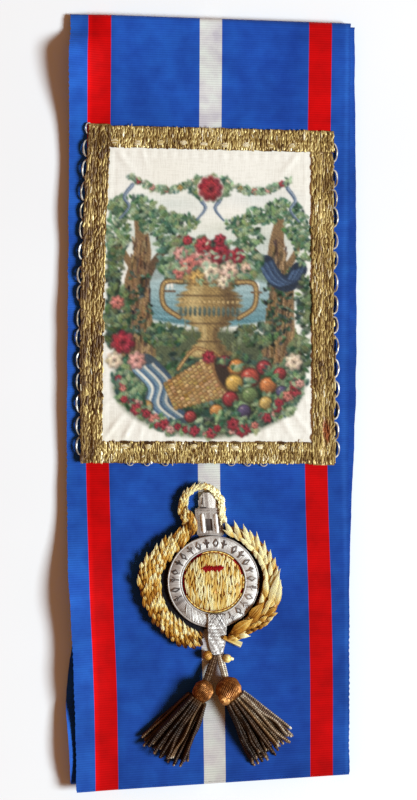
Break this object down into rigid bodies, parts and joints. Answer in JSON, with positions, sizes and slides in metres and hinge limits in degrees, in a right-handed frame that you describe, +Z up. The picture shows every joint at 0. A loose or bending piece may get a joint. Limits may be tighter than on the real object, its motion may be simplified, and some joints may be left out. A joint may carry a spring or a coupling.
{
  "type": "ceremonial sash",
  "caption": "Ceremonial sash of striped ribbed silk ribbon, folded flat, with a lace-framed silk picture, a padded bullion badge and bullion tassels.",
  "frame": {"origin": "on the floor, under the middle of the folded ribbon", "axes": "+Z up out of the front of the sash, +Y along the ribbon towards its top fold, +X across the ribbon to the viewer's right"},
  "size_m": [0.1501, 0.4033, 0.0177],
  "materials": {
    "ribbon_silk": "ribbed silk ribbon with a soft sheen, woven in blue, red and white stripes",
    "printed_silk": "smooth cream silk with a printed picture, slightly puckered",
    "tarnished_lace": "woven metal lace, tarnished to an olive gold",
    "black_felt": "stiff black felt",
    "gold_bullion": "padded gold bullion wire, laid in leaves and strands",
    "silver_bullion": "padded silver bullion wire, dulled",
    "red_cloth": "plain red cloth",
    "bronze_bullion": "fine bronze-brown wire wound over a ball",
    "dark_fringe": "twisted bullion cords, tarnished dark brown"
  },
  "bodies": {
    "root": {"sash_ribbon": "ribbon_silk", "picture_panel": "printed_silk", "lace_top": "tarnished_lace", "lace_bottom": "tarnished_lace", "lace_left": "tarnished_lace", "lace_right": "tarnished_lace", "badge_backing": "black_felt", "wreath_left": "gold_bullion", "wreath_right": "gold_bullion", "wreath_hoop": "gold_bullion", "silver_ring": "silver_bullion", "silver_finial": "silver_bullion", "silver_tail": "silver_bullion", "red_ground": "red_cloth", "gold_disc": "gold_bullion", "accent_left": "red_cloth", "accent_right": "red_cloth", "gold_ball_left": "gold_bullion", "gold_ball_right": "gold_bullion", "tassel_cord_left": "dark_fringe", "tassel_cord_right": "dark_fringe", "tassel_head_left": "bronze_bullion", "tassel_head_right": "bronze_bullion", "tassel_skirt_left": "dark_fringe", "tassel_skirt_right": "dark_fringe"}
  },
  "joints": []
}
